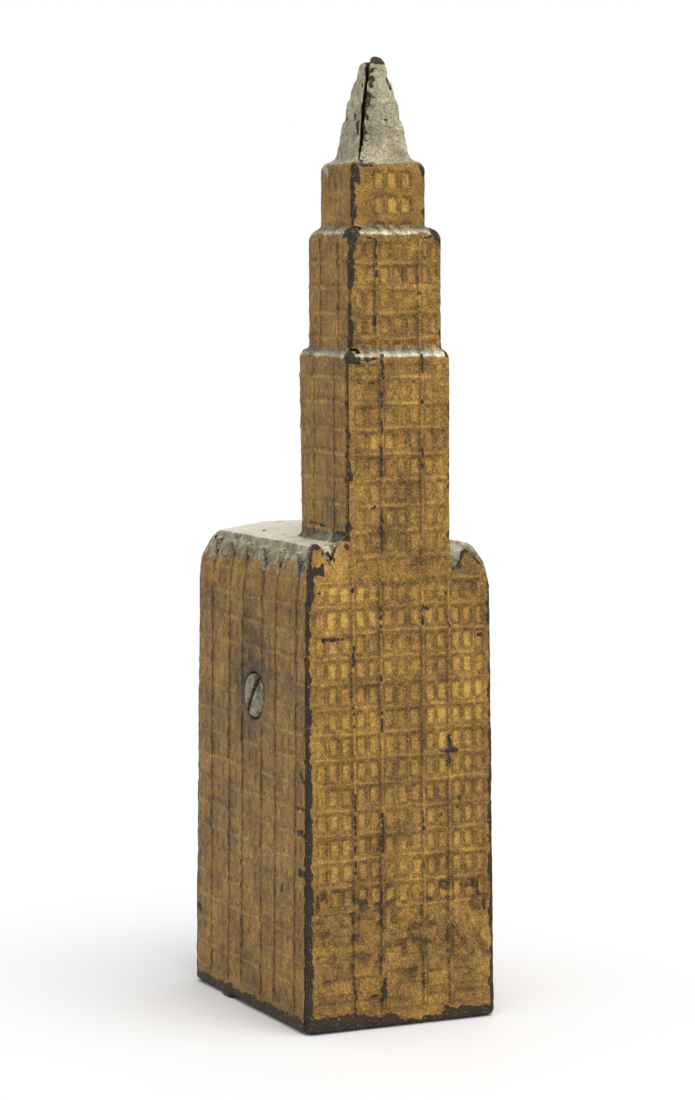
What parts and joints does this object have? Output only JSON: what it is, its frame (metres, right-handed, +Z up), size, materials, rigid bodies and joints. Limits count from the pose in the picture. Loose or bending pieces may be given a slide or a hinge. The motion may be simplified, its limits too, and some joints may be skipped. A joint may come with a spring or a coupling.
{
  "type": "still bank",
  "caption": "Small cast-iron still bank shaped as a stepped tower with a spire, in painted castings clamped by a cross screw, with a coin slot behind.",
  "frame": {"origin": "centre of the base's underside, on the surface it stands on", "axes": "+Z up the tower, -Y out of the front wall, +X to the right seen from the front"},
  "size_m": [0.0318, 0.0438, 0.146],
  "materials": {
    "painted_casting_front": "worn metallic gold paint on the walls, silver-grey paint on the roofs and spire, bare black iron at the edges",
    "painted_casting_rear": "worn, browner metallic gold paint on the walls, silver-grey paint on the roofs and spire, bare black iron at the edges",
    "screw_steel": "dark, tarnished, with a burred slot"
  },
  "bodies": {
    "rear_left": {"rear_left_shell": "painted_casting_rear"},
    "front_right": {"front_right_shell": "painted_casting_front"},
    "screw": {"cross_screw": "screw_steel"}
  },
  "joints": [
    {"name": "shell_slide", "type": "slide", "parent": "rear_left", "child": "front_right", "axis": [1, 0, 0], "range_m": [0, 0.0084]},
    {"name": "screw_turn", "type": "hinge", "parent": "rear_left", "child": "screw", "pos_m": [0, -0.0015, 0.049], "axis": [-1, 0, 0], "range_deg": [0, 3814.5]}
  ],
  "couplings": [
    {"joint": "screw_turn", "follows": "shell_slide", "rad_per_m": 7915.3}
  ]
}
